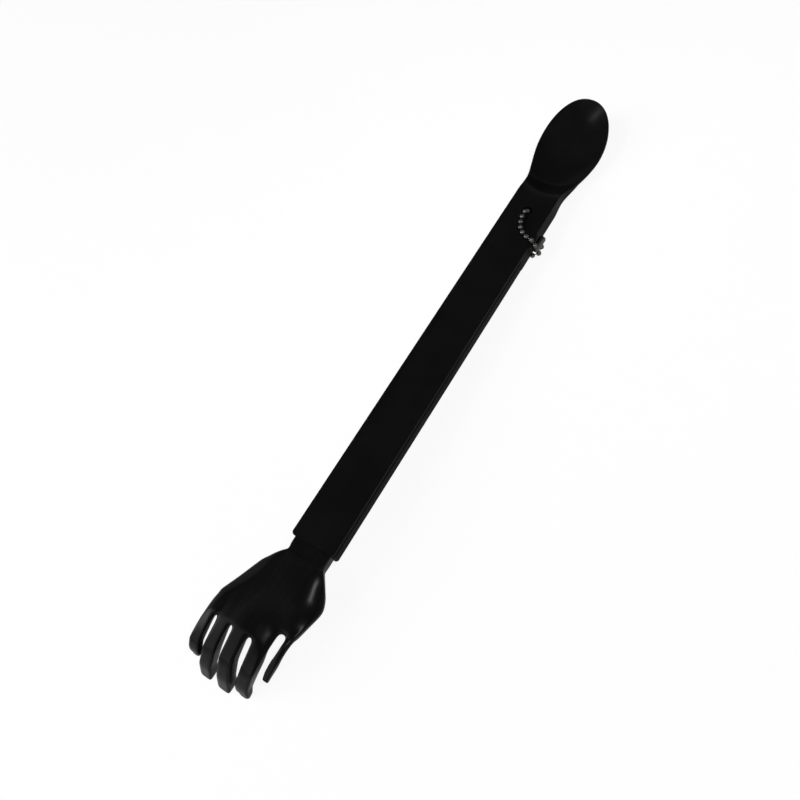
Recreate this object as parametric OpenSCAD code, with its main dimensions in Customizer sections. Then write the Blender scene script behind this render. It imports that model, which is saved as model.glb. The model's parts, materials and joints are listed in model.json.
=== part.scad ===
// Two-in-one back scratcher and shoehorn: a flat hollow handle with a curled
// scratching hand at one end, a shoehorn blade at the other and a loop of ball
// chain through the neck.
// Shapes are drawn with the handle level: X runs from the hand end of the handle
// towards the blade, Z points out of the front face, which lies at Z = 0. placed()
// then sets the object down on a table, on its fingertips and the blade's back.

/* [Handle] */
// Width of the handle
handle_w = 26; // [22:0.5:30]
// Thickness of the handle from its front face to its back face
handle_t = 10; // [9:0.5:12]
// Length of the hollow part of the handle, from its hand end to the solid neck
hollow_len = 196; // [160:1:240]
// Length of the solid neck between the hollow part and the blade
neck_len = 40; // [36:1:60]
// Thickness of the front plate
face_t = 2.2; // [1.6:0.1:3]
// Thickness of the back cover's side walls and floor
wall = 1.8; // [1.4:0.1:2.2]
// Height of the parting groove along the sides
groove_h = 1.2; // [0.8:0.1:1.6]
// Depth of the parting groove
groove_depth = 0.9; // [0.5:0.1:1.2]
// Thickness of the cover's lip inside the groove
lip_t = 1.3; // [1:0.1:1.6]
// Rounding of the long edges
edge_r = 0.6; // [0.3:0.1:0.8]
// Rounding of the two corners at the hand end, seen from the front
corner_r = 2; // [1:0.5:2.5]
// Gap between pieces that fit into each other
fit_gap = 0.1; // [0.05:0.05:0.2]

/* [Pegs] */
// Number of pegs that hold the front plate to the back cover
peg_count = 4; // [3:1:6]
// Diameter of a peg
peg_d = 3; // [2.4:0.2:3.6]
// Outer diameter of the socket that takes a peg
socket_d = 6; // [5:0.2:7]
// Distance of the first and the last peg from the ends of the hollow part
peg_margin = 16; // [12:1:20]

/* [Blade] */
// Length of the blade from the neck to its tip
blade_len = 78; // [60:1:100]
// Greatest width of the blade
blade_w = 41; // [34:0.5:48]
// Distance from the neck to where the blade starts to widen
blade_flare = 11; // [6:1:16]
// Distance from the neck to the blade's widest place
blade_widest = 50; // [42:1:58]
// How far the rims of the blade sink below the front face
blade_drop = 5; // [3:0.5:6]
// Distance from the neck to the lowest place of the rims
blade_root = 27; // [22:1:34]
// How far the tip curls up from the lowest place of the rims
blade_rise = 15; // [8:0.5:18]
// Depth of the trough across the blade
trough = 4.5; // [3:0.5:6]
// Thickness of the blade along its middle
blade_t = 2.4; // [1.8:0.1:3]
// Thickness of the blade at its rims
rim_t = 1.6; // [1:0.1:2]
// Squareness of the blade's round end, 2 is an ellipse
blade_round = 2.15; // [2:0.05:2.6]

/* [Hand] */
// Width of the wrist and of the tang that sits in the handle
tang_w = 21; // [16:0.5:21]
// Length of the tang inside the handle
tang_len = 30; // [24:1:36]
// Length of the straight wrist outside the handle
wrist_len = 7; // [5:1:12]
// Distance from the handle to the webs between the fingers
palm_len = 50; // [46:1:56]
// Reach of the palm to the little finger's side at the knuckles
palm_left = 32; // [28:0.5:34]
// Reach of the palm to the thumb's side at its widest
palm_right = 20.4; // [18:0.2:22]
// Distance from the handle to the widest place on the thumb's side
palm_bulge = 24; // [20:1:28]
// Distance from the handle to the web between thumb and forefinger
palm_web = 42; // [40:0.5:44]
// Reach of the palm to the thumb's side at that web
thumb_side = 16.2; // [15.6:0.2:17]
// Reach of the palm on the forefinger's side at the knuckles
knuckle_right = 6.5; // [5:0.5:8]
// Thickness of the palm
palm_t = 4; // [3:0.5:5]
// Height of the rounded back of the hand over its edges
palm_crown = 4; // [2:0.5:6]
// Depth of the knuckles' edges below the handle's front face
palm_depth = 6.5; // [5:0.5:8]
// Width of the little finger
little_w = 6.6; // [5.6:0.2:7]
// Width of the other three fingers
finger_w = 7.2; // [6:0.2:7.6]
// Thickness of a finger at its root
finger_t = 7; // [5:0.5:8]
// Thickness of a finger at its tip
finger_tip_t = 4.4; // [3.4:0.2:5.4]
// How far the rounded ends of the fingertips stand out
tip_round = 1.5; // [0.5:0.25:2.5]
// Rounding of the fingers' edges
finger_r = 0.5; // [0.3:0.1:0.8]
// How far the fingers' roots reach back into the palm
finger_overlap = 4; // [3:1:10]
// Depth of the front three fingertips below the handle's front face
claw_depth = 28; // [25:0.5:32]
// Depth of the little fingertip below the handle's front face
little_depth = 19; // [15:0.5:22]
// How far a finger's back lies below the back of the hand
finger_sink = 0.2; // [0.1:0.1:0.6]
// Distance from the handle to the thumb's root
thumb_root = 37; // [34:1:40]
// Distance of the thumb's root from the middle of the handle
thumb_y = 14.7; // [13:0.1:16]
// Depth of the thumb's back at its root below the handle's front face
thumb_top = -5; // [-7:0.5:-4]
// Length of the thumb's first straight part
thumb_first = 16; // [12:1:20]
// Length of the thumb's second straight part
thumb_second = 6; // [4:1:9]
// Depth of the thumb's tip below the handle's front face
thumb_depth = 13.5; // [12:0.5:16]
// Width of the thumb
thumb_w = 3.4; // [2.6:0.2:4.4]
// Thickness of the thumb at its root
thumb_t = 5; // [4:0.5:6]
// Thickness of the thumb at its tip
thumb_tip_t = 2.8; // [2:0.2:3.4]
// Turn of the thumb towards the fingers
thumb_turn = 5; // [0:1:12]

/* [Chain] */
// Diameter of a bead
bead_d = 3; // [2.4:0.1:3.2]
// Distance from bead to bead
bead_pitch = 4; // [3.8:0.1:4.4]
// Wall of a hollow bead
bead_wall = 0.3; // [0.2:0.05:0.4]
// Hole at each end of a bead
bead_hole_d = 0.85; // [0.75:0.05:0.85]
// Diameter of a link pin's shaft
link_d = 0.55; // [0.4:0.05:0.6]
// Diameter of the round heads of a link pin
link_head_d = 0.95; // [0.9:0.05:1]
// Gap between a link's head and the bead round it
link_slack = 0.1; // [0.06:0.02:0.12]
// Diameter of the chain's hole through the neck
hole_d = 6; // [5:0.5:8]
// Distance from the hollow part to the chain's hole
hole_at = 33.5; // [28:0.5:40]
// Gap between the chain and the handle
chain_gap = 0.4; // [0.3:0.1:0.8]
// Outer diameter of the chain's connector
connector_d = 4.2; // [4:0.1:4.8]
// Wall of the connector
connector_wall = 0.4; // [0.3:0.05:0.5]
// Length of the connector's turned-in mouths
connector_lip = 0.8; // [0.5:0.1:1]

/* [Hidden] */
$fn = 48;
// Small overlap that keeps cutters clear of the faces they cut
over = 1;

// Handle, worked out
neck_x = hollow_len;
blade_x = hollow_len + neck_len;
hole_x = hollow_len + hole_at;
cover_top = -face_t - groove_h;
lip_half = handle_w / 2 - groove_depth;
cavity_half = lip_half - lip_t;
floor_z = -handle_t + wall;
peg_step = (hollow_len - 2 * peg_margin) / (peg_count - 1);
peg_places = [for (i = [0 : peg_count - 1]) peg_margin + i * peg_step];
peg_len = -floor_z - fit_gap - face_t;
// Depth to which a peg's root goes into the plate, and a socket's into the floor
peg_root = face_t / 2;
socket_root = wall / 2;

// Tang, worked out: a narrow handle makes it narrower too
tang_half = min(tang_w / 2, cavity_half - fit_gap);
pocket_half = tang_half + fit_gap;
tang_top = -face_t - fit_gap;
tang_t = handle_t - face_t - wall - 2 * fit_gap;

// Easing from 0 to 1 and mixing of two values
function ease(t) = let (u = max(0, min(1, t))) u * u * (3 - 2 * u);
function mix(a, b, t) = a + (b - a) * t;

// A closed skin over plate rings of equal length, triangles all over
module skin(rings) {
    n = len(rings[0]);
    half = n / 2;
    end = (len(rings) - 1) * n;
    points = [for (ring = rings) each ring];
    sides = [
        for (i = [0 : len(rings) - 2], j = [0 : n - 1])
            let (a = i * n + j, b = i * n + (j + 1) % n)
            each [[a, b + n, b], [a, a + n, b + n]]
    ];
    caps = [
        for (j = [0 : half - 2])
            let (a = j, b = j + 1, c = n - 2 - j, d = n - 1 - j)
            each [[a, b, c], [a, c, d], [end + a, end + c, end + b], [end + a, end + d, end + c]]
    ];
    polyhedron(points, concat(caps, sides), convexity = 8);
}

// Ring across a curved plate at x, from one rim over the top to the other and back below
function plate_ring(x, left, right, rim_z, bow, edge_t, mid_t, steps = 10) =
    let (mid = (left + right) / 2, half = (left - right) / 2)
    concat(
        [
            for (i = [0 : steps])
                let (v = 1 - 2 * i / steps)
                [x, mid + half * v, rim_z + bow * (1 - v * v)]
        ],
        [
            for (i = [0 : steps])
                let (v = 2 * i / steps - 1, c = 1 - v * v)
                [x, mid + half * v, rim_z + bow * c - mix(edge_t, mid_t, c)]
        ]
    );

// Blade

// Half the blade's width at a distance s from the neck
function blade_half(s) =
    s > blade_widest
    ? let (v = (s - blade_widest) / (blade_len - blade_widest))
        blade_w / 2 * pow(max(0, 1 - pow(v, blade_round)), 1 / blade_round)
    : mix(handle_w / 2, blade_w / 2, ease((s - blade_flare) / (blade_widest - blade_flare)));

// Height of the rims: they sink to the blade's root and curl up to the tip
function blade_rim(s) =
    -blade_drop * ease(s / blade_root)
    + blade_rise * pow(max(0, (s - blade_root) / (blade_len - blade_root)), 2);

// Depth of the trough, which starts at the neck and closes at the tip
function blade_bow(s) =
    -trough * ease(s / blade_root)
    * (s > blade_widest ? pow(2 * blade_half(s) / blade_w, 2) : 1);

// How far the section has changed from the neck's full bar to the thin blade
function blade_thin(s) = min(1, s / blade_root);

function blade_ring(s) =
    plate_ring(
        blade_x + s, blade_half(s), -blade_half(s), blade_rim(s), blade_bow(s),
        mix(handle_t, rim_t, blade_thin(s)), mix(handle_t, blade_t, blade_thin(s))
    );

// Places along the blade: even up to its widest, then closer and closer to the tip
root_steps = 16;
tip_steps = 11;
tip_end = 87;
blade_places = concat(
    [for (i = [0 : root_steps]) blade_widest * i / root_steps],
    [for (i = [1 : tip_steps]) mix(blade_widest, blade_len, sin(tip_end * i / tip_steps))]
);

// The blade's first ring lies inside the neck, a hair smaller than the neck's section
root_inset = 0.05;
function root_ring(s) =
    plate_ring(
        blade_x + s, handle_w / 2 - root_inset, root_inset - handle_w / 2, -root_inset, 0,
        handle_t - 2 * root_inset, handle_t - 2 * root_inset
    );

module blade() {
    skin(concat([root_ring(-over)], [for (s = blade_places) blade_ring(max(s, root_inset))]));
}

// Handle

// Section of a bar with rounded edges, centred on Y, its top at z = 0
module bar_section(w, t, top_r, bottom_r) {
    translate([-w / 2, -t + bottom_r]) square([w, t - top_r - bottom_r]);
    translate([-w / 2 + top_r, -t / 2]) square([w - 2 * top_r, t / 2]);
    translate([-w / 2 + bottom_r, -t]) square([w - 2 * bottom_r, t / 2]);
    for (side = [-1, 1]) {
        translate([side * (w / 2 - top_r), -top_r]) circle(top_r);
        translate([side * (w / 2 - bottom_r), -t + bottom_r]) circle(bottom_r);
    }
}

// Lays a section that is drawn in Y and Z along X
module along_x(length) {
    rotate([90, 0, 90]) linear_extrude(length) children();
}

// Cutter that rounds the two corners at the hand end
module end_corners() {
    for (side = [-1, 1])
        translate([0, side * handle_w / 2, -handle_t - over])
            linear_extrude(handle_t + 2 * over)
                difference() {
                    translate([-over, side > 0 ? -corner_r : -over])
                        square([corner_r + over, corner_r + over]);
                    translate([corner_r, -side * corner_r]) circle(corner_r);
                }
}

module front_shell() {
    color("#1b1b1d")
        difference() {
            union() {
                difference() {
                    along_x(neck_x) bar_section(handle_w, face_t, edge_r, edge_r / 2);
                    end_corners();
                }
                translate([neck_x, 0, 0]) along_x(neck_len) bar_section(handle_w, handle_t, edge_r, edge_r);
                blade();
                for (x = peg_places)
                    translate([x, 0, floor_z + fit_gap]) cylinder(d = peg_d, h = peg_len + peg_root);
            }
            translate([hole_x, 0, -handle_t - over]) cylinder(d = hole_d, h = handle_t + 2 * over);
        }
}

module cover_shell() {
    difference() {
        union() {
            difference() {
                translate([0, 0, cover_top])
                    along_x(neck_x) bar_section(handle_w, handle_t + cover_top, edge_r / 2, edge_r);
                end_corners();
            }
            // Lip inside the groove, which the front plate lies on
            translate([groove_depth, -lip_half, cover_top - over])
                cube([neck_x - groove_depth, 2 * lip_half, groove_h + over]);
        }
        // Pocket for the tang, then the wider cavity behind it
        translate([-over, -pocket_half, floor_z])
            cube([tang_len + fit_gap + over, 2 * pocket_half, handle_t]);
        translate([tang_len + fit_gap + wall, -cavity_half, floor_z])
            cube([neck_x - tang_len - fit_gap - 2 * wall, 2 * cavity_half, handle_t]);
    }
}

module back_cover() {
    color("#19191b")
        difference() {
            union() {
                cover_shell();
                for (x = peg_places)
                    translate([x, 0, floor_z - socket_root])
                        cylinder(d = socket_d, h = -face_t - floor_z + socket_root);
            }
            for (x = peg_places)
                translate([x, 0, floor_z]) cylinder(d = peg_d + 2 * fit_gap, h = handle_t);
        }
}

// Hand

// Reach of the palm to either side at a distance s from the handle. The swell bows the edge
// on the little finger's side, 1 is straight
palm_swell = 0.56;

function palm_left_at(s) =
    s <= wrist_len
    ? tang_half
    : mix(tang_half, palm_left, pow((s - wrist_len) / (palm_len - wrist_len), palm_swell));

function palm_right_at(s) =
    s <= wrist_len
    ? tang_half
    : s < palm_bulge
    ? mix(tang_half, palm_right, (s - wrist_len) / (palm_bulge - wrist_len))
    : s < palm_web
    ? mix(palm_right, thumb_side, (s - palm_bulge) / (palm_web - palm_bulge))
    : knuckle_right;

// How far the section has changed from the flat tang to the rounded palm
function palm_round(s) = ease((s - wrist_len / 2) / (palm_bulge - wrist_len / 2));

function palm_rim(s) = mix(tang_top, -palm_depth, palm_round(s));

function palm_ring(s) =
    plate_ring(
        -s, palm_left_at(s), -palm_right_at(s), palm_rim(s), palm_crown * palm_round(s),
        mix(tang_t, palm_t, palm_round(s)), mix(tang_t, palm_t, palm_round(s))
    );

// Height of the back of the hand over a place y on the knuckles
function knuckle_top(y) =
    let (mid = (palm_left - knuckle_right) / 2, half = (palm_left + knuckle_right) / 2)
    -palm_depth + palm_crown * (1 - pow((y - mid) / half, 2));

palm_steps = 20;
palm_places = concat(
    [for (i = [palm_steps : -1 : 0]) mix(wrist_len / 2, palm_len, i / palm_steps)],
    [-tang_len]
);

// Slopes of a finger's three straight lengths, from its root to its tip
finger_falls = [14, 50, 69];
thumb_falls = [6, 20, 34];

// One length of a finger, forward and down
function bone(length, fall) = length * [-cos(fall), -sin(fall)];

// Direction square to a finger's back, into the palm
function inward(fall) = [sin(fall), -cos(fall)];

// Side view of a digit, as pairs of points on its back and its inside, from root to tip.
// It is drawn inside the digit by the rounding of its edges. The last length reaches down
// to the depth asked for and ends level.
function digit_side(root, first, second, depth, falls, root_thick, tip_thick) =
    let (
        root_t = root_thick - 2 * finger_r,
        tip_t = tip_thick - 2 * finger_r,
        start = root + finger_r * inward(falls[0]),
        a = start - bone(finger_overlap, falls[0]),
        b = start + bone(first, falls[0]),
        c = b + bone(second, falls[1]),
        d = c + bone((c[1] + depth - finger_r) / sin(falls[2]), falls[2]),
        turn_b = (falls[0] + falls[1]) / 2,
        turn_c = (falls[1] + falls[2]) / 2
    )
    [
        [a, a + root_t * inward(falls[0])],
        [b, b + mix(root_t, tip_t, 1 / 3) / cos(falls[1] - turn_b) * inward(turn_b)],
        [c, c + mix(root_t, tip_t, 2 / 3) / cos(falls[2] - turn_c) * inward(turn_c)],
        [d, d + [tip_t / sin(falls[2]), 0]]
    ];

// One rounded corner of a digit, on both of its sides
module digit_corner(p, half) {
    for (y = [-half, half])
        translate([p[0], y, p[1]]) sphere(finger_r, $fn = 16);
}

// A digit as straight lengths with rounded edges. The last length ends in a rounded tip.
module digit(side, w, stand_out) {
    last = len(side) - 1;
    for (i = [0 : last - 1])
        hull() {
            for (p = concat(side[i], side[i + 1]))
                digit_corner(p, w / 2 - finger_r);
            if (i == last - 1)
                digit_corner(side[last][0] - [stand_out, 0], w / 4 - finger_r);
        }
}

// Fingers from the little finger to the forefinger: place across the hand, first and second length
fingers = [[29.3, 18, 5.6], [20, 17.5, 12.8], [8.7, 17.5, 13], [-2.5, 16.5, 11.8]];

function finger_side(i, depth) =
    digit_side(
        [-palm_len, knuckle_top(fingers[i][0]) - finger_sink], fingers[i][1], fingers[i][2],
        depth, finger_falls, finger_t, finger_tip_t
    );

module finger(i, depth, w) {
    translate([0, fingers[i][0], 0]) digit(finger_side(i, depth), w, tip_round);
}

thumb_line =
    digit_side(
        [0, thumb_top], thumb_first, thumb_second, thumb_depth, thumb_falls, thumb_t, thumb_tip_t
    );

module thumb() {
    translate([-thumb_root, -thumb_y, 0])
        rotate([0, 0, -thumb_turn])
            digit(thumb_line, thumb_w, finger_r);
}

module hand() {
    color("#121214")
        difference() {
            union() {
                skin([for (s = palm_places) palm_ring(s)]);
                finger(0, little_depth, little_w);
                for (i = [1 : len(fingers) - 1])
                    finger(i, claw_depth, finger_w);
                thumb();
            }
            translate([peg_places[0], 0, -handle_t]) cylinder(d = socket_d + 2 * fit_gap, h = handle_t);
        }
}

// Chain

bead_r = bead_d / 2;
strand_z = chain_gap + bead_r;
back_z = -handle_t - strand_z;
strand_span = handle_t + 2 * strand_z;
// Beads that stand in the hole, and the last link from them out to either strand
hole_beads = ceil(strand_span / bead_pitch - 1);
hole_rise = (strand_span - (hole_beads - 1) * bead_pitch) / 2;
lead = sqrt(pow(bead_pitch, 2) - pow(hole_rise, 2));

// Headings of the links along a strand, in degrees from straight to the right edge
// towards the hand, and of the link that goes over the edge
headings = [88, 74, 64, 47, 29, 17];
edge_heading = 10;

function way(heading) = [-sin(heading), -cos(heading)];

function heading_at(i) = headings[min(i, len(headings)) - 1];

// Place of a strand's bead on the plate, counted from the hole
function strand_at(i) =
    i == 0
    ? [hole_x, 0] + lead * way(90)
    : strand_at(i - 1) + bead_pitch * way(heading_at(i));

// Line along the right side wall where the connector lies
side_y = -handle_w / 2 - chain_gap - connector_d / 2;
// A wider handle takes more beads to reach its edge. The link over the edge takes at most this
// share of its own length
edge_share = 0.95;
spare_reach = -side_y + strand_at(len(headings))[1];
link_reach = bead_pitch * cos(heading_at(len(headings)));
more_beads = max(0, ceil(spare_reach / link_reach - edge_share));
strand_last = len(headings) + more_beads;

// Bead over the edge, below the strand by what is left of one link
edge_run = (strand_at(strand_last)[1] - side_y) / cos(edge_heading);
edge_drop = sqrt(pow(bead_pitch, 2) - pow(edge_run, 2));
edge_place = strand_at(strand_last) + edge_run * way(edge_heading);
edge_front = [edge_place[0], side_y, strand_z - edge_drop];

// The connector lies one link below the front edge bead
link_lean = 25;
front_end = edge_front + bead_pitch * [sin(link_lean), 0, -cos(link_lean)];

// Links of the back strand past the edge, as heading and rise: they turn towards the blade and
// climb into the connector's other end
side_links = [[-28, 23], [-90, 26], [-120, 70]];

function side_at(i) =
    i == 0
    ? [strand_at(strand_last)[0], strand_at(strand_last)[1], back_z]
    : let (turn = way(side_links[i - 1][0]), rise = side_links[i - 1][1])
        side_at(i - 1) + bead_pitch * [turn[0] * cos(rise), turn[1] * cos(rise), sin(rise)];

back_end = side_at(len(side_links));

// All beads in order, from the connector round the loop and back to the connector
loop = concat(
    [front_end, edge_front],
    [for (i = [strand_last : -1 : 0]) [strand_at(i)[0], strand_at(i)[1], strand_z]],
    [for (i = [0 : hole_beads - 1]) [hole_x, 0, strand_z - hole_rise - i * bead_pitch]],
    [for (i = [0 : strand_last]) [strand_at(i)[0], strand_at(i)[1], back_z]],
    [for (i = [1 : len(side_links)]) side_at(i)]
);

// Turn of a bead about its own middle, with its seam to one side of the links
bead_turn = [0, 0, 140];

// Turns a shape that stands along Z into a direction
module pointing(v) {
    rotate([0, acos(v[2] / norm(v)), atan2(v[1], v[0])]) children();
}

module chain_bead(i) {
    color("silver")
        translate(loop[i])
            difference() {
                rotate(bead_turn) sphere(bead_r);
                rotate(bead_turn) sphere(bead_r - bead_wall);
                if (i > 0)
                    pointing(loop[i - 1] - loop[i]) cylinder(d = bead_hole_d, h = bead_d);
                if (i < len(loop) - 1)
                    pointing(loop[i + 1] - loop[i]) cylinder(d = bead_hole_d, h = bead_d);
            }
}

// Pin with a round head inside each of the two beads that it joins
module chain_link(i) {
    v = loop[i + 1] - loop[i];
    head_at = bead_r - bead_wall - link_head_d / 2 - link_slack;
    color("gainsboro")
        translate(loop[i])
            pointing(v) {
                translate([0, 0, head_at]) cylinder(d = link_d, h = norm(v) - 2 * head_at);
                translate([0, 0, head_at]) sphere(d = link_head_d);
                translate([0, 0, norm(v) - head_at]) sphere(d = link_head_d);
            }
}

// Connector, worked out
connector_mid = (front_end + back_end) / 2;
connector_half = norm(back_end - front_end) / 2 + bead_r + connector_lip;
connector_r = connector_d / 2;
sleeve_r = connector_r - connector_wall;
mouth_r = bead_hole_d;
lip_end = connector_half - connector_lip;
lip_inside = connector_half - connector_wall;
sleeve_end = lip_inside - connector_lip / 2;

// Sleeve that holds the last bead of either end, with a turned-in lip at each mouth
module connector() {
    color("silver")
        translate(connector_mid)
            difference() {
                pointing(back_end - front_end)
                    rotate_extrude()
                        polygon([
                            [connector_r, -lip_end],
                            [connector_r, lip_end],
                            [sleeve_r, connector_half],
                            [mouth_r, connector_half],
                            [mouth_r, lip_inside],
                            [sleeve_r, sleeve_end],
                            [sleeve_r, -sleeve_end],
                            [mouth_r, -lip_inside],
                            [mouth_r, -connector_half],
                            [sleeve_r, -connector_half]
                        ]);
                connector_slot(front_end, edge_front);
                connector_slot(back_end, side_at(len(side_links) - 1));
            }
}

// Cut that lets the link to a held bead out through the sleeve
module connector_slot(from, to) {
    translate(from - connector_mid)
        pointing(to - from) cylinder(d = link_d + 2 * link_slack, h = connector_d);
}

// Placing on the table

// Point of the claw that touches the table, and the slope to the blade's back
claw_tip = finger_side(1, claw_depth)[3];
claw_front = claw_tip[0] - [finger_r + tip_round, 0];
claw_foot = claw_tip[1] - [0, finger_r];
blade_slopes = [
    for (s = blade_places)
        let (low = blade_rim(s) + blade_bow(s) - mix(handle_t, blade_t, blade_thin(s)))
        (low - claw_foot[1]) / (blade_x + s - claw_foot[0])
];
table_tilt = atan(min(blade_slopes));

// A point of the level drawing, turned onto the table
function tilted(x, z) =
    [x * cos(table_tilt) + z * sin(table_tilt), z * cos(table_tilt) - x * sin(table_tilt)];

low_end = tilted(claw_front[0], claw_front[1])[0];
high_end = tilted(blade_x + blade_len, blade_rim(blade_len))[0];
table_z = tilted(claw_foot[0], claw_foot[1])[1];
left_reach = max(palm_left, fingers[0][0] + little_w / 2);
right_reach = max(palm_right, blade_w / 2);
middle_y = (left_reach - right_reach) / 2;

module placed() {
    translate([-(low_end + high_end) / 2, -middle_y, -table_z])
        rotate([0, table_tilt, 0])
            children();
}

function numbered(name, i) = str(name, i < 9 ? "_0" : "_", i + 1);

placed() front_shell();
placed() back_cover();
placed() hand();
placed() connector();  // chain_connector
for (i = [0 : len(loop) - 1])
    placed() chain_bead(i);
for (i = [0 : len(loop) - 2])
    placed() chain_link(i);
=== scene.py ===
# %% [markdown]
# A back scratcher with a shoehorn, dressed in Blender
#
# The object is a flat black bar with a curled scratching hand at one end, a shoehorn blade at
# the other and a loop of ball chain through its neck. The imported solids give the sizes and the
# way the chain swings. This lesson models the pieces that need softer shapes than the solids
# have, gives every piece a finish, and sets up floor, light and camera.

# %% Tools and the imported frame
import json
import math

import bmesh
import bpy
from mathutils import Matrix, Vector


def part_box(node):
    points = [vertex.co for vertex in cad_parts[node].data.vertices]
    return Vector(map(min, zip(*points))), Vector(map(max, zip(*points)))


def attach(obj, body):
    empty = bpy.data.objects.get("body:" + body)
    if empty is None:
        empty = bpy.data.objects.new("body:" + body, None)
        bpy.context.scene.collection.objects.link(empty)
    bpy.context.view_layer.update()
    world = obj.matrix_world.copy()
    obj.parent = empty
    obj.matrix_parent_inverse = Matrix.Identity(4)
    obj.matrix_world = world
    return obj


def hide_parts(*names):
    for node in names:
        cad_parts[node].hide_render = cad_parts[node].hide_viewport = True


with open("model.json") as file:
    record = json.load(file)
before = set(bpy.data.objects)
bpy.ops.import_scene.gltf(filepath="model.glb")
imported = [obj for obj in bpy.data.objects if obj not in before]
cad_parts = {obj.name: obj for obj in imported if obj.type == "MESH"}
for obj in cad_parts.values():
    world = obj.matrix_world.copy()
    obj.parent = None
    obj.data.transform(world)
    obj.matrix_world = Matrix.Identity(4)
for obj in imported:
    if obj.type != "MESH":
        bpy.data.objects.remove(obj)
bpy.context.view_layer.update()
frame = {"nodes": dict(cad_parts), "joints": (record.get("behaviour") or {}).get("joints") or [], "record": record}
MM = 0.001

# %% [markdown]
# The solids lie on a table, so the bar is tilted a little. It is easier to model with the bar
# level and in millimetres: X along the bar from the hand's end, Z out of the front face, the face
# at height 0. The chain's joint tells how the level bar was set down: its axis is the face's
# normal, and its place is the middle of the chain's hole. The handle's front and the hand get
# that one turn and shift when they are finished.

# %% From the level bar to the table
BAR_T, HOLE_X = 10, 229.5  # the bar's thickness, and where the chain's hole is
swing = next(joint for joint in frame["joints"] if joint["name"] == "chain_swing")
face_normal = Vector(swing["axis"])
tilt = math.atan2(face_normal.x, face_normal.z)
hole_middle = Vector((HOLE_X, 0, -BAR_T / 2)) * MM
table_turn = Matrix.Rotation(tilt, 4, "Y")
table_shift = Vector(swing["pos_m"]) - table_turn @ hole_middle
SET_DOWN = Matrix.Translation(table_shift) @ table_turn
print(f"set down: tilt {math.degrees(tilt):.2f} degrees")

# %% [markdown]
# The camera looks down on the bar from the hand's end and from its right, turned so that the bar
# runs across the picture from lower left to upper right. Its place is given on the level bar, so
# it is set down with it. The Standard view transform shows colours as they are written.

# %% Camera
EYE, AIM = Vector((-32.85, -157.32, 345.33)) * MM, Vector((88.74, 2.45, 0)) * MM
CAMERA_ROLL = math.radians(-23.7)
LENS, SENSOR_W = 33.75, 36
NEAREST = 0.01  # metres


def facing(place, aimed):
    """The turn of a camera or lamp that looks from one place to another."""
    return (Vector(aimed) - Vector(place)).to_track_quat("-Z", "Y").to_matrix().to_4x4()


camera_data = bpy.data.cameras.new("camera")
camera_data.sensor_fit = "HORIZONTAL"
camera_data.sensor_width, camera_data.lens = SENSOR_W, LENS
camera_data.clip_start = NEAREST
camera = bpy.data.objects.new("camera", camera_data)
bpy.context.scene.collection.objects.link(camera)
camera.matrix_world = (
    SET_DOWN @ Matrix.Translation(EYE) @ facing(EYE, AIM) @ Matrix.Rotation(CAMERA_ROLL, 4, "Z")
)
bpy.context.scene.camera = camera
bpy.context.scene.view_settings.view_transform = "Standard"
print("camera at", [round(v, 3) for v in camera.matrix_world.translation])

# %% [markdown]
# A finish is a Principled shader whose colour, polish and bumps come from noise, because no real
# surface is the same all over. All noise reads Object coordinates in metres, so a pattern keeps
# its size and stays on the piece when it moves. These helpers build one link of nodes each.


# %% Helpers for finishes
NOISE_LOW, NOISE_HIGH = 0.3, 0.7  # most of a noise lies between these values


def new_finish(name):
    material = bpy.data.materials.new(name)
    material.use_nodes = True
    nodes = material.node_tree.nodes
    place = nodes.new("ShaderNodeTexCoord")
    return material, material.node_tree, nodes["Principled BSDF"], place.outputs["Object"]


def noise(tree, place, size, detail=3, stretch=(1, 1, 1)):
    """Noise with bumps of about this size in metres."""
    mapping = tree.nodes.new("ShaderNodeMapping")
    mapping.inputs["Scale"].default_value = stretch
    texture = tree.nodes.new("ShaderNodeTexNoise")
    texture.inputs["Scale"].default_value = 1 / size
    texture.inputs["Detail"].default_value = detail
    tree.links.new(place, mapping.inputs["Vector"])
    tree.links.new(mapping.outputs["Vector"], texture.inputs["Vector"])
    return texture.outputs["Fac"]


def spread(tree, value, low, high, start=NOISE_LOW, end=NOISE_HIGH):
    """Maps a value between start and end to the range from low to high."""
    ranged = tree.nodes.new("ShaderNodeMapRange")
    ranged.inputs["From Min"].default_value = start
    ranged.inputs["From Max"].default_value = end
    ranged.inputs["To Min"].default_value = low
    ranged.inputs["To Max"].default_value = high
    tree.links.new(value, ranged.inputs["Value"])
    return ranged.outputs["Result"]


def tint(tree, value, dark, light):
    """A colour between dark and light, by a noise."""
    ramp = tree.nodes.new("ShaderNodeValToRGB")
    for stop, place, colour in zip(
        ramp.color_ramp.elements, (NOISE_LOW, NOISE_HIGH), (dark, light)
    ):
        stop.position, stop.color = place, (*colour, 1)
    tree.links.new(value, ramp.inputs["Fac"])
    return ramp.outputs["Color"]


def grain(tree, shader, value, strength, depth):
    """Fine bumps, depth in metres."""
    bump = tree.nodes.new("ShaderNodeBump")
    bump.inputs["Strength"].default_value = strength
    bump.inputs["Distance"].default_value = depth
    tree.links.new(value, bump.inputs["Height"])
    tree.links.new(bump.outputs["Normal"], shader.inputs["Normal"])


# %% [markdown]
# Black moulded plastic is never one flat black. The bar is satin with a fine grain from its
# mould, its blade is smoother so that a heel slides on it, and the hand is glossy. One helper
# builds both plastics: a slow noise varies the black, a noise stretched along the bar varies the
# polish, as hands do when they rub it, and a fine noise is the grain. The step from satin bar to
# smooth blade is a share of the roughness that changes along X.

# %% Black plastics
CLOUD_SIZE, RUB_SIZE, RUB_STRETCH = 0.02, 0.003, (0.15, 1, 1)  # sizes in metres
GRAIN_SIZE, GRAIN_DEPTH = 0.00035, 0.00006
COOL = 1.06  # blue against red and green
BLADE_FROM, BLADE_TO = 0.118, 0.135  # where the satin bar turns into the smoother blade


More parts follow.
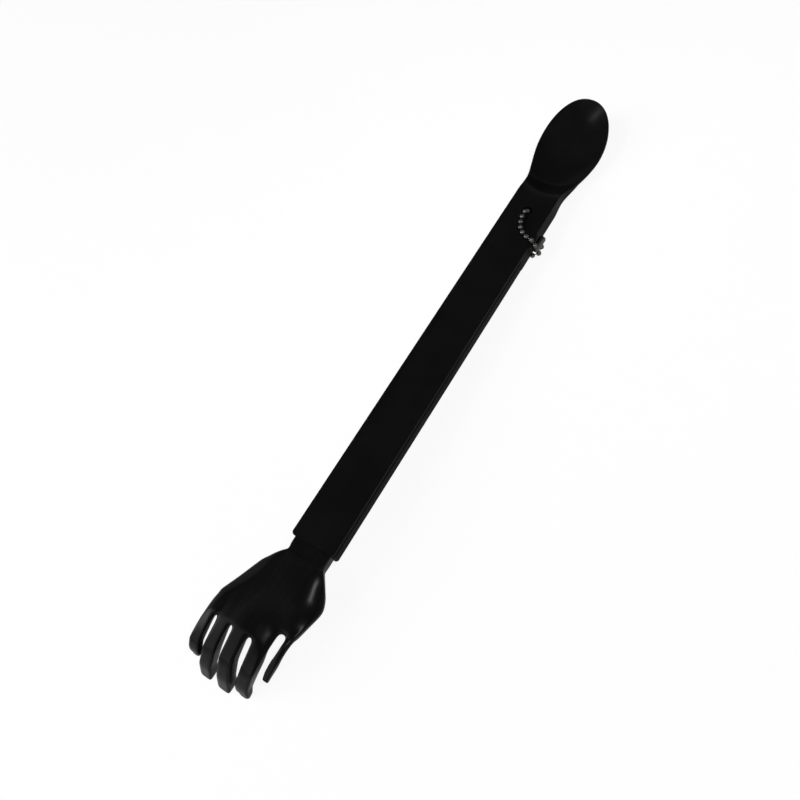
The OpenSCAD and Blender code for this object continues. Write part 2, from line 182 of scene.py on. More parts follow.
def black_plastic(name, blacks, polish, sheen, grain_strength, blade_share=1):
    """Black plastic; polish is the range of roughness, sheen the strength of its reflections."""
    material, tree, shader, place = new_finish(name)
    shader.inputs["Specular IOR Level"].default_value = sheen
    cloudy = noise(tree, place, CLOUD_SIZE)
    rubbed = noise(tree, place, RUB_SIZE, stretch=RUB_STRETCH)
    deep, pale = ((black, black, COOL * black) for black in blacks)
    tree.links.new(tint(tree, cloudy, deep, pale), shader.inputs["Base Color"])
    along = tree.nodes.new("ShaderNodeSeparateXYZ")
    tree.links.new(place, along.inputs["Vector"])
    share = spread(tree, along.outputs["X"], 1, blade_share, BLADE_FROM, BLADE_TO)
    roughness = tree.nodes.new("ShaderNodeMath")
    roughness.operation = "MULTIPLY"
    tree.links.new(spread(tree, rubbed, *polish), roughness.inputs[0])
    tree.links.new(share, roughness.inputs[1])
    tree.links.new(roughness.outputs[0], shader.inputs["Roughness"])
    fine = noise(tree, place, GRAIN_SIZE, detail=2)
    grain(tree, shader, fine, grain_strength, GRAIN_DEPTH)
    return material


satin_black = black_plastic(
    "satin_black_plastic",
    blacks=(0.0034, 0.0048),
    polish=(0.38, 0.48),
    sheen=0.01,
    grain_strength=0.12,
    blade_share=0.4,
)
gloss_black = black_plastic(
    "gloss_black_plastic",
    blacks=(0.0024, 0.0038),
    polish=(0.22, 0.3),
    sheen=0.06,
    grain_strength=0.03,
)
print("plastics:", satin_black.name, "and", gloss_black.name)

# %% [markdown]
# The chain is plated with nickel, but its colour is set far darker than nickel, as painted
# shade for the dark surroundings that it mirrors; a slow noise varies that colour and the polish
# at random. A round bead mirrors the pale floor all along its rim, and the specular tint tones that
# rim down. Then every imported node gets its finish, also those that a modelled piece replaces.

# %% Nickel, and a finish for every node
# painted shade: both nickel colours are far darker than nickel, for the dark surroundings it mirrors
SHADED_DARK_NICKEL, SHADED_PALE_NICKEL = (0.065, 0.065, 0.062), (0.1, 0.099, 0.095)
NICKEL_RIM = (0.45, 0.45, 0.44, 1)
NICKEL_POLISH = (0.34, 0.26)  # roughness of the dark and of the pale places
TONE_PATCH_SIZE, WEAR_SIZE, WEAR_DEPTH, WEAR_STRENGTH = 0.0015, 0.0002, 0.00002, 0.05


def nickel_plate(name):
    material, tree, shader, place = new_finish(name)
    shader.inputs["Metallic"].default_value = 1
    shader.inputs["Specular Tint"].default_value = NICKEL_RIM
    tone_patches = noise(tree, place, TONE_PATCH_SIZE)
    colour = tint(tree, tone_patches, SHADED_DARK_NICKEL, SHADED_PALE_NICKEL)
    tree.links.new(colour, shader.inputs["Base Color"])
    tree.links.new(spread(tree, tone_patches, *NICKEL_POLISH), shader.inputs["Roughness"])
    wear = noise(tree, place, WEAR_SIZE, detail=2)
    grain(tree, shader, wear, WEAR_STRENGTH, WEAR_DEPTH)
    return material


def coat(piece, finish):
    piece.data.materials.clear()
    piece.data.materials.append(finish)


def finish_of(node):
    if node.startswith("chain"):
        return nickel
    return gloss_black if node == "hand" else satin_black


nickel = nickel_plate("nickel_plate")
for name, node in frame["nodes"].items():
    coat(node, finish_of(name))
print("finishes:", [m.name for m in (satin_black, gloss_black, nickel)])

# %% [markdown]
# Hand-modelling in code needs two habits: nothing else may be selected, and what an operator acts
# on is picked by its place. These helpers do that, and measure in millimetres of the level bar.


# %% Helpers for modelling
AXIS_X, AXIS_Y, AXIS_Z = Vector((1, 0, 0)), Vector((0, 1, 0)), Vector((0, 0, 1))


def clear_selection():
    if bpy.context.object and bpy.context.object.mode != "OBJECT":
        bpy.ops.object.mode_set(mode="OBJECT")
    bpy.ops.object.select_all(action="DESELECT")


def make_active(piece):
    clear_selection()
    bpy.context.view_layer.objects.active = piece
    piece.select_set(True)


def edit(piece):
    make_active(piece)
    bpy.ops.object.mode_set(mode="EDIT")


def start_block(name, low, high):
    """A cube between two corners, opened in edit mode."""
    clear_selection()
    low, high = Vector(low) * MM, Vector(high) * MM
    bpy.ops.mesh.primitive_cube_add(size=1, location=(low + high) / 2, scale=high - low)
    bpy.ops.object.transform_apply(location=True, rotation=True, scale=True)
    bpy.context.object.name = name
    bpy.ops.object.mode_set(mode="EDIT")
    return bpy.context.object


def modify(piece, kind, **settings):
    """Adds a modifier to the active piece, sets its values and applies it."""
    bpy.ops.object.modifier_add(type=kind)
    modifier = piece.modifiers[-1]
    for setting, value in settings.items():
        setattr(modifier, setting, value)
    bpy.ops.object.modifier_apply(modifier=modifier.name)


# %% Helpers for picking
def pick(kind, wanted, among=False):
    """Selects the verts, edges or faces that pass a test, or keeps those among the selected."""
    mesh = bpy.context.edit_object.data
    bpy.ops.mesh.select_mode(type=kind)
    shape = bmesh.from_edit_mesh(mesh)
    group = {"VERT": shape.verts, "EDGE": shape.edges, "FACE": shape.faces}[kind]
    chosen = [part for part in group if (part.select or not among) and wanted(part)]
    bpy.ops.mesh.select_all(action="DESELECT")
    for part in chosen:
        part.select_set(True)
    shape.select_flush_mode()
    bmesh.update_edit_mesh(mesh)


def near(a, b, reach=0.02):
    """Whether a place in the mesh is within reach of a place in millimetres."""
    return abs(a - b * MM) < reach * MM


def middle(part):
    return sum((v.co for v in part.verts), Vector()) / len(part.verts)


# %% Helpers for shaping
def cut_across(axis, places):
    """Cuts the whole mesh square to an axis."""
    for place in places:
        bpy.ops.mesh.select_all(action="SELECT")
        bpy.ops.mesh.bisect(plane_co=axis * place * MM, plane_no=axis)


def push(step):
    """Pulls the selected faces out by a step."""
    bpy.ops.mesh.extrude_region_move(TRANSFORM_OT_translate={"value": Vector(step) * MM})


def shift(step):
    bpy.ops.transform.translate(value=Vector(step) * MM)


def stretch(factors, about):
    bpy.ops.transform.resize(value=factors, center_override=Vector(about) * MM)


def ease(t):
    """From 0 to 1 with a soft start and end."""
    t = max(0.0, min(1.0, t))
    return t * t * (3 - 2 * t)


def mix(a, b, t):
    return a + (b - a) * t


# %% [markdown]
# The front shell is one moulding: a thin plate over the hollow handle, a solid neck and the
# shoehorn blade. By hand it starts as the neck's block. Its far end is pulled out in many short
# steps that get wider and thinner, and the top of its near end is pulled back as the plate. The
# blade's outline, its rim's height and its thickness are given along its length, from the neck.

# %% Front shell: sizes along the blade
BAR_W, FACE_T = 26, 2.2
HOLLOW_LEN, NECK_LEN, BLADE_LEN = 196, 40, 78
NECK_END = HOLLOW_LEN + NECK_LEN
# outline: widest width, where it starts to flare, where it is widest, how round its end is
BLADE_W, FLARE, WIDEST, ROUND_END = 41, 9, 50, 2.15
# side view: the root's length, where the rim falls, how far, its rise to the tip, the trough
ROOT, RIM_START, RIM_DROP, TIP_RISE, TROUGH = 27, 7, 5, 15, 4.5
# thickness: where it starts to get thin, in the middle and at the rim
THIN_START, BLADE_T, RIM_T = 3, 2.4, 1.6
# steps up to the widest place and from there to the tip, shorter and shorter by a sine
ROOT_CUTS, TIP_CUTS, TIP_TURN = 24, 16, 87
SHELL_COLUMNS = [-0.8, -0.6, -0.4, -0.2, 0, 0.2, 0.4, 0.6, 0.8]  # shares of the half width


def blade_half(s):
    if s <= WIDEST:
        return mix(BAR_W / 2, BLADE_W / 2, ease((s - FLARE) / (WIDEST - FLARE)))
    v = (s - WIDEST) / (BLADE_LEN - WIDEST)
    return BLADE_W / 2 * max(0, 1 - v**ROUND_END) ** (1 / ROUND_END)


def blade_rim(s):
    drop = RIM_DROP * ease((s - RIM_START) / (ROOT - RIM_START))
    return TIP_RISE * max(0, (s - ROOT) / (BLADE_LEN - ROOT)) ** 2 - drop


def blade_bow(s):
    closing = (2 * blade_half(s) / BLADE_W) ** 2 if s > WIDEST else 1
    return -TROUGH * ease(s / ROOT) * closing


def blade_thickness(s, thin):
    return mix(BAR_T, thin, max(0, min(1, (s - THIN_START) / (ROOT - THIN_START))))


root_steps = [WIDEST * i / ROOT_CUTS for i in range(1, ROOT_CUTS + 1)]
tip_turns = [math.radians(TIP_TURN * i / TIP_CUTS) for i in range(1, TIP_CUTS + 1)]
blade_steps = root_steps + [mix(WIDEST, BLADE_LEN, math.sin(turn)) for turn in tip_turns]
print("blade:", len(blade_steps), "steps over", BLADE_LEN, "mm")

# %% Front shell: neck and blade
shell = start_block(
    "handle_front", (HOLLOW_LEN, -BAR_W / 2, -BAR_T), (NECK_END, BAR_W / 2, 0)
)
cut_across(AXIS_Y, [v * BAR_W / 2 for v in SHELL_COLUMNS])
pick("FACE", lambda f: near(middle(f).x, NECK_END))
before = 0
for s in blade_steps:
    push((s - before, 0, 0))
    x = NECK_END + s
    wider = blade_half(s) / blade_half(before)
    thinner = blade_thickness(s, RIM_T) / blade_thickness(before, RIM_T)
    stretch((1, wider, thinner), (x, 0, blade_rim(before)))
    shift((0, 0, blade_rim(s) - blade_rim(before)))
    before = s
print("blade:", len(bmesh.from_edit_mesh(shell.data).faces), "faces, still flat across")

# %% [markdown]
# So far the blade is flat across. Its trough is made by sinking each column of each step, the
# middle most, on the front and a little more on the back, where the middle is thicker than the
# rim. The plate is then pulled out of the neck's near end, over the hollow handle.

# %% Front shell: trough and plate
for s in blade_steps:
    x, half = NECK_END + s, blade_half(s)
    mid_z = blade_rim(s) - blade_thickness(s, RIM_T) / 2
    extra = blade_thickness(s, BLADE_T) - blade_thickness(s, RIM_T)
    for v in [column for column in SHELL_COLUMNS if column >= 0]:
        crown = 1 - v * v
        for upper in (False, True):
            pick(
                "VERT",
                lambda p: near(p.co.x, x)
                and near(abs(p.co.y), v * half)
                and (p.co.z > mid_z * MM) == upper,
            )
            shift((0, 0, blade_bow(s) * crown - (0 if upper else extra * crown)))
pick("FACE", lambda f: near(middle(f).x, HOLLOW_LEN))
bpy.ops.mesh.bisect(plane_co=AXIS_Z * -FACE_T * MM, plane_no=AXIS_Z)
pick("FACE", lambda f: near(middle(f).x, HOLLOW_LEN) and middle(f).z > -FACE_T * MM)
push((-HOLLOW_LEN, 0, 0))
bpy.ops.object.mode_set(mode="OBJECT")
print("front shell:", len(shell.data.polygons), "faces before its hole and edges")

# %% [markdown]
# The chain's hole is a plain drilled hole, so a Boolean cuts it. Moulded edges are never
# sharp: the corners at the hand's end get a wide bevel, all other sharp edges a narrow one. A
# Weighted Normal modifier then keeps the large flat faces flat in reflections.


# %% Helpers for holes and edges
HOLE_SIDES = 48
SHARP_ANGLE, SMOOTH_ANGLE = math.radians(40), math.radians(35)


def drill(piece, place, radius, depth, along=AXIS_Z):
    """Cuts a round hole with a Boolean."""
    clear_selection()
    bpy.ops.mesh.primitive_cylinder_add(
        vertices=HOLE_SIDES,
        radius=radius * MM,
        depth=depth * MM,
        location=Vector(place) * MM,
        rotation=along.to_track_quat("Z", "Y").to_euler(),
    )
    drill_bit = bpy.context.object
    make_active(piece)
    modify(piece, "BOOLEAN", object=drill_bit, operation="DIFFERENCE", solver="EXACT")
    bpy.data.objects.remove(drill_bit)


def soften_edges(width, segments):
    bpy.ops.mesh.select_all(action="DESELECT")
    bpy.ops.mesh.select_mode(type="EDGE")
    bpy.ops.mesh.edges_select_sharp(sharpness=SHARP_ANGLE)
    bpy.ops.mesh.bevel(offset=width * MM, segments=segments, clamp_overlap=True)


def smooth_off(piece):
    """Smooth shading that keeps flat faces flat."""
    make_active(piece)
    bpy.ops.object.shade_smooth_by_angle(angle=SMOOTH_ANGLE)
    modify(piece, "WEIGHTED_NORMAL", keep_sharp=True)


def fit_on(piece, body, node, finish, place=SET_DOWN):
    """Sets a finished piece down on the table in place of its solid."""
    piece.data.transform(place)
    coat(piece, finish)
    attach(piece, body)
    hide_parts(node)


# %% Front shell: hole and edges
HOLE_D, DRILL_SURPLUS = 6, 4
CORNER_R, CORNER_CUTS, EDGE_R, EDGE_CUTS = 2, 8, 0.6, 3
drill(shell, (HOLE_X, 0, -BAR_T / 2), HOLE_D / 2, BAR_T + DRILL_SURPLUS)
edit(shell)
pick("EDGE", lambda e: all(near(v.co.x, 0) and near(abs(v.co.y), BAR_W / 2) for v in e.verts))
bpy.ops.mesh.bevel(offset=CORNER_R * MM, segments=CORNER_CUTS)
soften_edges(EDGE_R, EDGE_CUTS)
smooth_off(shell)
fit_on(shell, "handle", "front_shell", satin_black)
print("front shell:", len(shell.data.polygons), "faces")

# %% [markdown]
# The hand is box-modelled, as a character's hand is: a block for the wrist, pulled out step by
# step into the palm, with a column of faces for each finger, each gap and the thumb. The fingers
# and the thumb are then pulled out of their columns, and a subdivision surface rounds the cage.
# Lengths along the hand are distances from the handle's end, and Y points to the little finger.

# %% Hand: sizes
WRIST_W, WRIST_T, WRIST_TOP, WRIST_LEN = 22.6, 5.8, -2.3, 6.5
WRIST_INSIDE, WRIST_FLAT = 10, 4  # the length in the handle, and how far the wrist stays flat
PALM_LEN, WEB_AT, BULGE_AT = 51.5, 42.5, 24
PALM_T, PALM_CROWN, PALM_DEPTH = 4.6, 4, 6.5
# distance from the handle, reach to the little finger's side, reach to the thumb's side
PALM_STEPS = [
    (7.6, 12.8, 11.6),
    (10, 15.7, 13.1),
    (15, 20.1, 16.3),
    (20, 23.0, 18.9),
    (24, 24.9, 20.2),
    (28, 26.5, 19.4),
    (34, 28.8, 17.9),
    (39, 30.9, 16.9),
    (WEB_AT, 32.1, 16.1),
]
KNUCKLE_STEPS = [(47, 32.55, 7.6), (PALM_LEN, 32.55, 7.2)]
WEB_LEFT, THUMB_LEFT = -7.4, -12.0
# finger: middle, width, thickness at root and tip, first and second length, depth of the tip,
# and how far the second bend and the tip lean to the little finger's side
FINGERS = {
    "little": (29.3, 6.1, 5.0, 3.8, 16.5, 5.6, 19, 0),
    "ring": (19.9, 7.2, 7.4, 5.8, 16, 13.6, 28, 1.5),
    "middle": (8.9, 7.8, 7.4, 6.2, 16, 13.6, 28, 0.3),
    "fore": (-3.1, 7.8, 7.6, 4.0, 15, 12.8, 28, 2.0),
}
_, palm_left, palm_right = PALM_STEPS[-1]
_, knuckle_left, knuckle_right = KNUCKLE_STEPS[-1]
palm_width = knuckle_left + palm_right
finger_sides = [edge for y, w, *_ in FINGERS.values() for edge in (y + w / 2, y - w / 2)]
columns = [*finger_sides[1:-1], WEB_LEFT, THUMB_LEFT]
column_shares = [(y + palm_right) / palm_width for y in columns]
web_share, thumb_share = column_shares[-2:]
print("hand:", len(column_shares) + 1, "columns over", round(palm_width, 1), "mm")


# %% Hand: the palm's arch
def palm_round(s):
    """How far the flat wrist has become the rounded palm."""
    return ease((s - WRIST_FLAT) / (BULGE_AT - WRIST_FLAT))


def palm_rim(s):
    return mix(WRIST_TOP, -PALM_DEPTH, palm_round(s))


def palm_thickness(s):
    return mix(WRIST_T, PALM_T, palm_round(s))


def knuckle_crown(y):
    """The arch of the knuckles, 1 in the middle and 0 at either side."""
    mid, half = (knuckle_left - knuckle_right) / 2, (knuckle_left + knuckle_right) / 2
    return max(0, 1 - ((y - mid) / half) ** 2)


def palm_crown(s, share):
    """The arch of the back of the hand: over its whole width first, over the knuckles later."""
    whole = 1 - abs(2 * share - 1) ** 3
    knuckles = knuckle_crown(share * palm_width - palm_right)
    later = ease((s - BULGE_AT) / (WEB_AT - BULGE_AT))
    return PALM_CROWN * palm_round(s) * mix(whole, knuckles, later)


# %% Hand: wrist and palm
def pull_palm(steps, was):
    """Pulls the selected end through the steps, each with its own reach to either side."""
    for step in steps:
        (s, left, right), (before, was_left, was_right) = step, was
        push((before - s, 0, 0))
        wider = (left + right) / (was_left + was_right)
        thinner = palm_thickness(s) / palm_thickness(before)
        stretch((1, wider, thinner), (-s, (was_left - was_right) / 2, palm_rim(before)))
        aside = (left - right - was_left + was_right) / 2
        shift((0, aside, palm_rim(s) - palm_rim(before)))
        was = step


hand = start_block(
    "scratching_hand",
    (-WRIST_LEN, -WRIST_W / 2, WRIST_TOP - WRIST_T),
    (WRIST_INSIDE, WRIST_W / 2, WRIST_TOP),
)
cut_across(AXIS_Y, [mix(-WRIST_W / 2, WRIST_W / 2, share) for share in column_shares])
cut_across(AXIS_X, [0])
pick("FACE", lambda f: near(middle(f).x, -WRIST_LEN))
pull_palm(PALM_STEPS, (WRIST_LEN, WRIST_W / 2, WRIST_W / 2))
web_right = mix(-palm_right, palm_left, web_share)
pick("FACE", lambda f: near(middle(f).x, -WEB_AT) and middle(f).y > web_right * MM)
pull_palm(KNUCKLE_STEPS, (WEB_AT, palm_left, -web_right))
print("palm:", len(bmesh.from_edit_mesh(hand.data).faces), "faces in its cage")

# %% [markdown]
# The flat palm now gets its form. Every column is lifted to the arch of the back of the hand. The
# thumb's side turns down to a thin edge, and the little finger's side stands a little higher at
# the knuckles.

# %% Hand: arch and sides
THUMB_SINK, BESIDE_SINK, THUMB_THIN = 2.4, 0.9, 1.6  # its edge, the column beside it, its underside
TURN_FROM, TURN_OVER, TURN_BACK = 7, 8, 12  # where the turn starts, and its lengths in and out
LITTLE_LIFT, LITTLE_STRIP, LITTLE_STEPS = 2.0, 7.5, 3
for s, left, right in PALM_STEPS + KNUCKLE_STEPS:
    for share in column_shares:
        y = mix(-right, left, share)
        if s > WEB_AT:
            if share <= web_share:
                continue
            y = mix(-right, left, (share - web_share) / (1 - web_share))
        pick("VERT", lambda p: near(p.co.x, -s) and near(p.co.y, y))
        shift((0, 0, palm_crown(s, share)))
for s, left, right in PALM_STEPS:
    turned = ease((s - TURN_FROM) / TURN_OVER) * ease((WEB_AT - s) / TURN_BACK)
    rim_middle = (palm_rim(s) - palm_thickness(s) / 2) * MM
    pick("VERT", lambda p: near(p.co.x, -s) and near(p.co.y, -right))
    shift((0, 0, -THUMB_SINK * turned))
    pick("VERT", lambda p: p.co.z < rim_middle - THUMB_SINK * turned * MM, among=True)
    shift((0, 0, THUMB_THIN * turned))
    beside = mix(-right, left, thumb_share)
    pick("VERT", lambda p: near(p.co.x, -s) and near(p.co.y, beside))
    shift((0, 0, -BESIDE_SINK * turned))
for s, left, right in PALM_STEPS[-LITTLE_STEPS:] + KNUCKLE_STEPS:
    pick("VERT", lambda p: near(p.co.x, -s) and p.co.y > (left - LITTLE_STRIP) * MM)
    shift((0, 0, LITTLE_LIFT * ease((s - BULGE_AT) / (PALM_LEN - BULGE_AT))))
palm_heights = [v.co.z / MM for v in bmesh.from_edit_mesh(hand.data).verts]
print(f"palm: from {min(palm_heights):.1f} to {max(palm_heights):.1f} mm")

# %% [markdown]
# A finger of this moulding is three straight lengths with two bends. In side view each length has
# a fall, its slope against the bar, and the bends are mitred so that both lengths keep their
# thickness. An end is pulled out of the palm and each of its four corners is set to its place,
# because a finger leans and gets thinner at the same time.


# %% Helpers for fingers
def bone(length, fall):
    fall = math.radians(fall)
    return Vector((-length * math.cos(fall), 0, -length * math.sin(fall)))


def inward(fall):
    fall = math.radians(fall)
    return Vector((math.sin(fall), 0, -math.cos(fall)))


def across(point, y):
    return Vector((point.x, y, point.z))


def set_corner(corner, target):
    """Moves one corner of the selected end to its place."""
    mesh = bpy.context.edit_object.data
    ends = [v.index for v in bmesh.from_edit_mesh(mesh).verts if v.select]
    pick("VERT", corner, among=True)
    chosen = [v for v in bmesh.from_edit_mesh(mesh).verts if v.select]
    shift(Vector(target) - sum((v.co for v in chosen), Vector()) / len(chosen) / MM)
    shape = bmesh.from_edit_mesh(mesh)
    shape.verts.ensure_lookup_table()
    for index in ends:
        shape.verts[index].select_set(True)
    shape.select_flush_mode()
    bmesh.update_edit_mesh(mesh)


def pull_end(step, corners):
    """Pulls the selected end out and sets its corners, left and right: the back's, the inside's."""
    push(step)
    ends = [v for v in bmesh.from_edit_mesh(bpy.context.edit_object.data).verts if v.select]
    order = sorted(ends, key=lambda v: -v.co.y)
    left = sorted(order[:2], key=lambda v: -v.co.z)
    right = sorted(order[2:], key=lambda v: -v.co.z)
    places = dict(zip([left[0].index, right[0].index, left[1].index, right[1].index], corners))
    for index, target in places.items():
        set_corner(lambda v: v.index == index, target)
    pick("FACE", lambda f: all(v.index in places for v in f.verts))


# %% Hand: fingers
FINGER_FALLS = (14, 50, 69)  # degrees
TIP_FROM, TIP_SWELL = 0.7, Vector((0.9, 0, 0))  # where on its last length a tip starts to swell
TIP_CUT = Vector((1.2, 0, -0.6))  # how far the tip's back is cut off
WIDTH_SHARES, LEAN_SHARES = (1, 1.04, 1.06, 0.96), (0, 1, 1, 1)  # from the first bend to the tip
# how far a root lies below the knuckles' arch, and how near its column's middle has to be
KNUCKLE_SET, COLUMN_REACH = 0.2, 1


def finger_line(root, first, second, depth, falls, root_t, tip_t):
    """Side view: back and inside points at the two bends, before the tip and at the tip."""
    b = root + bone(first, falls[0])
    c = b + bone(second, falls[1])
    d = c + bone((c.z + depth) / math.sin(math.radians(falls[2])), falls[2])
    turn_b, turn_c = (falls[0] + falls[1]) / 2, (falls[1] + falls[2]) / 2
    lean_b, lean_c = math.radians(falls[1] - turn_b), math.radians(falls[2] - turn_c)
    end = Vector((tip_t / math.sin(math.radians(falls[2])), 0, 0))
    before_tip = mix(c, d, TIP_FROM) - TIP_SWELL
    return [
        (b, b + mix(root_t, tip_t, 1 / 3) / math.cos(lean_b) * inward(turn_b)),
        (c, c + mix(root_t, tip_t, 2 / 3) / math.cos(lean_c) * inward(turn_c)),
        (before_tip, before_tip + end + TIP_SWELL),
        (d - TIP_CUT, d + end),
    ]


finger_ends = []
for name, (y, w, root_t, tip_t, first, second, depth, lean) in FINGERS.items():
    pick("FACE", lambda f: near(middle(f).x, -PALM_LEN) and near(middle(f).y, y, COLUMN_REACH))
    root_z = -PALM_DEPTH + PALM_CROWN * knuckle_crown(y) - KNUCKLE_SET
    root_z += LITTLE_LIFT if name == "little" else 0
    at = Vector((-PALM_LEN, 0, root_z))
    line = finger_line(at, first, second, depth, FINGER_FALLS, root_t, tip_t)
    for (back, inside), share, leaning in zip(line, WIDTH_SHARES, LEAN_SHARES):
        sides = [y + lean * leaning + side * w / 2 * share for side in (1, -1)]
        pull_end(back - at, [across(p, side) for p in (back, inside) for side in sides])
        at = back
    finger_ends.append(across(mix(back, inside, 0.5), y + lean))
print("fingers:", ", ".join(FINGERS))

# %% [markdown]
# The thumb is shorter and lies flatter than the fingers. It is pulled from its own column at the
# web, through four ends that get smaller.

# %% Hand: thumb
THUMB_ROOT = Vector((-WEB_AT, -14.4, -6))
# middle of the back, half width, height of the back and of the inside
THUMB = [
    ((-47, -13.8), 2.0, -5.6, -10.0),
    ((-55, -13.4), 1.9, -7.2, -11.2),
    ((-61, -12.9), 1.8, -9.2, -12.4),
    ((-64.8, -12.9), 1.4, -11.0, -13.4),
]
pick("FACE", lambda f: near(middle(f).x, -WEB_AT) and middle(f).y < THUMB_LEFT * MM)
at = THUMB_ROOT
for (x, y), half, back, inside in THUMB:
    corners = [(x, y + side * half, z) for z in (back, inside) for side in (1, -1)]
    pull_end(Vector((x, y, back)) - at, corners)
    at = Vector((x, y, back))
print("thumb:", len(THUMB), "lengths")

# %% [markdown]
# A subdivision surface alone would melt the fingers into round sausages. Creases hold edges
# back: strongly along the wrist, which is square in its socket, less along the fingers and at
# their bends, and least at the tips, which are worn round.


# %% Helpers for creases
ACROSS = 0.5  # an edge runs across if its direction has more of Y than this
WRIST_SIDE, RIM_SLOPE = 10, 0.4  # where the wrist's sides start, and what is steep on the palm
TIP_REACH, PALM_GAP = 4.2, 0.1  # how far a tip reaches, and where past the palm a finger starts


def runs_across(e):
    return abs((e.verts[0].co - e.verts[1].co).normalized().y) > ACROSS


def at_tip(e):
    return any((middle(e) - tip * MM).length < TIP_REACH * MM for tip in finger_ends)


def on_finger(e):
    return middle(e).x < -(PALM_LEN + PALM_GAP) * MM and not at_tip(e)


def on_wrist(e):
    return middle(e).x > -WRIST_LEN * MM and abs(middle(e).y) > WRIST_SIDE * MM


def on_rim(e):
    """Between a steep and a flat face of the palm."""
    slopes = [abs(f.normal.z) for f in e.link_faces]
    on_palm = -WEB_AT * MM < middle(e).x < -WRIST_LEN * MM
    return on_palm and min(slopes) < RIM_SLOPE < max(slopes)


def on_knuckle(e):
    upper = middle(e).z > (palm_rim(PALM_LEN) - PALM_T / 2) * MM
    return near(middle(e).x, -PALM_LEN) and runs_across(e) and upper


# %% Hand: creases and rounding
CREASES = [
    (lambda e: on_finger(e) and not runs_across(e), 0.44),  # along the fingers
    (lambda e: on_finger(e) and runs_across(e), 0.3),  # at their bends
    (at_tip, 0.24),
    (lambda e: on_wrist(e) and not runs_across(e), 0.75),
    (lambda e: on_rim(e) and not runs_across(e), 0.36),
    (on_knuckle, 0.3),
]
ROUNDINGS = 3
bpy.ops.mesh.select_all(action="SELECT")
bpy.ops.mesh.normals_make_consistent(inside=False)
for wanted, sharpness in CREASES:
    pick("EDGE", wanted)
    bpy.ops.transform.edge_crease(value=sharpness)
bpy.ops.object.mode_set(mode="OBJECT")
modify(hand, "SUBSURF", levels=ROUNDINGS, render_levels=ROUNDINGS)
bpy.ops.object.shade_smooth()
fit_on(hand, "handle", "hand", gloss_black)
print("hand:", len(hand.data.polygons), "faces")

# %% [markdown]
# The chain's beads are rolled from thin sheet: hollow balls with a hole towards each neighbour,
# in which the heads of the pins hang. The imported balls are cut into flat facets, and those break
# up the one small highlight that a polished bead shows. So one smooth ball with a wall is made,
# copied to every bead's place, and each copy is drilled towards its own neighbours. An ico sphere
# has no poles, so no hole meets a crowd of thin faces, and close points are merged after drilling.

# %% Chain: one hollow ball
BEAD_D, BEAD_WALL, BEAD_HOLE = 3, 0.3, 0.85
BALL_CUTS, MERGE_REACH = 4, 0.004  # the ball's fineness, and how close points have to be
clear_selection()
bpy.ops.mesh.primitive_ico_sphere_add(subdivisions=BALL_CUTS, radius=BEAD_D / 2 * MM)
ball = bpy.context.object
ball.name = "bead_ball"
modify(ball, "SOLIDIFY", thickness=BEAD_WALL * MM, offset=-1)
print("ball:", len(ball.data.polygons), "faces")

# %% Chain: a bead at every place
bodies = frame["record"]["behaviour"]["bodies"]
body_of = {node: body for body, nodes in bodies.items() for node in nodes}
bead_nodes = sorted(node for node in body_of if node.startswith("chain_bead"))
bead_places = [(Vector(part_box(node)[0]) + Vector(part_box(node)[1])) / 2 for node in bead_nodes]
for i, node in enumerate(bead_nodes):
    bead = ball.copy()
    bead.data = ball.data.copy()
    bead.name = node.replace("chain_bead", "round_bead")
    bpy.context.scene.collection.objects.link(bead)
    for neighbour in bead_places[max(i - 1, 0) : i] + bead_places[i + 1 : i + 2]:
        towards = (neighbour - bead_places[i]).normalized()
        drill(bead, towards * BEAD_D / 2, BEAD_HOLE / 2, BEAD_D, towards)
    edit(bead)
    bpy.ops.mesh.select_all(action="SELECT")
    bpy.ops.mesh.remove_doubles(threshold=MERGE_REACH * MM)
    bpy.ops.object.mode_set(mode="OBJECT")
    bpy.ops.object.shade_smooth_by_angle(angle=SMOOTH_ANGLE)
    at_place = Matrix.Translation(bead_places[i])
    fit_on(bead, body_of[node], node, nickel, at_place)
bpy.data.objects.remove(ball)
print("beads:", len(bead_nodes), "with", len(bead.data.polygons), "faces on the last")

# %% [markdown]
# The floor is plain and pale, and a low wall far around it keeps the background pale from any
# side. The floor keeps the object's soft shadow. For the camera and for reflections both are
# lifted towards white, which adds no light on the object.

# %% Floor and backdrop
FLOOR_SIZE, FLOOR_Z = 6, -0.0002  # metres; just under the lowest point
WALL_R, WALL_H, WALL_SIDES = 2.9, 1.6, 96
PAINT, FLOOR_LIFT, WALL_LIFT = (0.9, 0.9, 0.9, 1), 0.88, 0.96
WHITE = (1, 1, 1, 1)


def pale_paint(name, lifted):
    material = bpy.data.materials.new(name)
    material.use_nodes = True
    tree = material.node_tree
    tree.nodes.remove(tree.nodes["Principled BSDF"])
    paint = tree.nodes.new("ShaderNodeBsdfDiffuse")
    paint.inputs["Color"].default_value = PAINT
    lift = tree.nodes.new("ShaderNodeEmission")
    lift.inputs["Color"].default_value = WHITE
    rays = tree.nodes.new("ShaderNodeLightPath")
    seen = rays.outputs["Is Camera Ray"]
    for ray in ("Is Glossy Ray", "Is Transmission Ray"):
        either = tree.nodes.new("ShaderNodeMath")
        either.operation = "MAXIMUM"
        tree.links.new(seen, either.inputs[0])
        tree.links.new(rays.outputs[ray], either.inputs[1])
        seen = either.outputs[0]
    share = tree.nodes.new("ShaderNodeMath")
    share.operation = "MULTIPLY"
    share.inputs[1].default_value = lifted
    both = tree.nodes.new("ShaderNodeMixShader")
    tree.links.new(seen, share.inputs[0])
    tree.links.new(share.outputs[0], both.inputs["Fac"])
    tree.links.new(paint.outputs[0], both.inputs[1])
    tree.links.new(lift.outputs[0], both.inputs[2])
    tree.links.new(both.outputs[0], tree.nodes["Material Output"].inputs["Surface"])
    return material


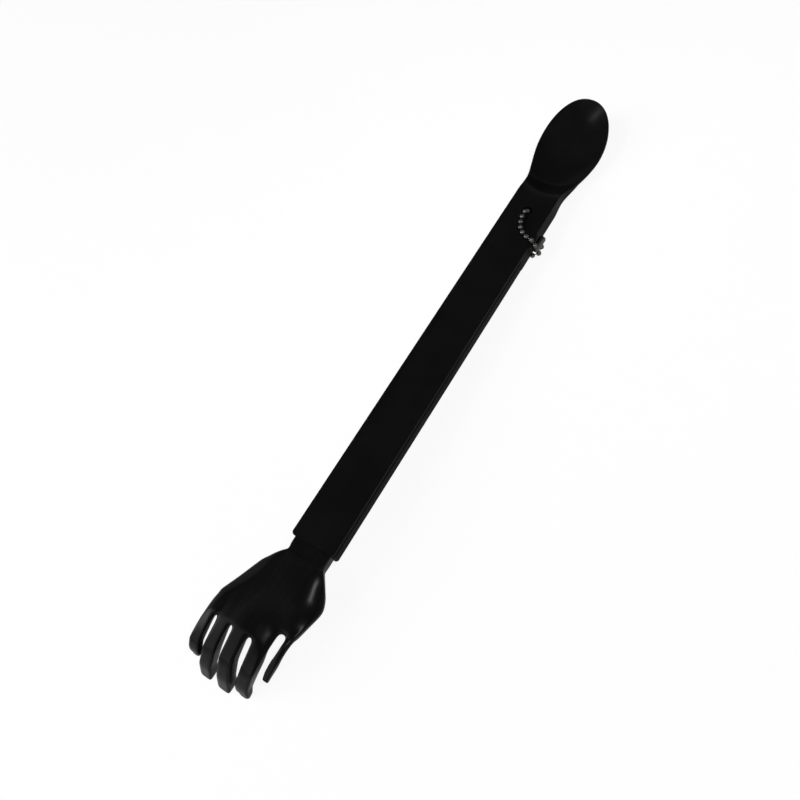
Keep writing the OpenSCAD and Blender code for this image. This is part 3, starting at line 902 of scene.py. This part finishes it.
clear_selection()
bpy.ops.mesh.primitive_plane_add(size=FLOOR_SIZE, location=(0, 0, FLOOR_Z))
floor = bpy.context.object
floor.name = "floor"
coat(floor, pale_paint("pale_floor", FLOOR_LIFT))
clear_selection()
bpy.ops.mesh.primitive_cylinder_add(
    vertices=WALL_SIDES,
    radius=WALL_R,
    depth=WALL_H,
    end_fill_type="NOTHING",
    location=(0, 0, WALL_H / 2),
)
backdrop = bpy.context.object
backdrop.name = "backdrop"
coat(backdrop, pale_paint("pale_backdrop", WALL_LIFT))
print("stage:", floor.name, "and", backdrop.name)

# %% [markdown]
# Black things show their form by highlights more than by shade, so each lamp stands where its
# mirror image falls on one form: the back of the hand, the tops and the edges of the fingers, and
# the trough of the blade, which gets a slim lamp with a narrow beam. The world adds a little light
# from all around.

# %% World and lamps
WORLD_LIGHT = 0.06
HAND_AIM, BLADE_AIM = (-0.1, 0, 0), (0.19, -0.01, 0.01)
ALL_AROUND, NARROW = 180, 24
# name, place, aim and size in metres, power in watts, beam in degrees
LAMPS = [
    ("palm_streak", (0.04, -0.54, 1.2), HAND_AIM, (0.3, 0.3), 9.5, ALL_AROUND),
    ("finger_sheen", (-0.75, 0.6, 0.92), HAND_AIM, (1.1, 1.1), 9, ALL_AROUND),
    ("finger_edges", (-0.57, 1.02, 0.56), HAND_AIM, (0.5, 0.5), 5, ALL_AROUND),
    ("blade_streak", (-0.37, 0.676, 1.097), BLADE_AIM, (0.06, 0.28), 0.085, NARROW),
]


def soft_lamp(name, place, aimed, size, power, beam):
    data = bpy.data.lights.new(name, "AREA")
    data.spread = math.radians(beam)
    data.shape = "RECTANGLE"
    data.size, data.size_y = size
    data.energy = power
    lamp = bpy.data.objects.new(name, data)
    bpy.context.scene.collection.objects.link(lamp)
    lamp.matrix_world = Matrix.Translation(place) @ facing(place, aimed)


world = bpy.data.worlds.new("studio")
bpy.context.scene.world = world
world.use_nodes = True
world.node_tree.nodes["Background"].inputs["Color"].default_value = WHITE
world.node_tree.nodes["Background"].inputs["Strength"].default_value = WORLD_LIGHT
for lamp in LAMPS:
    soft_lamp(*lamp)
print("lamps:", ", ".join(name for name, *_ in LAMPS))
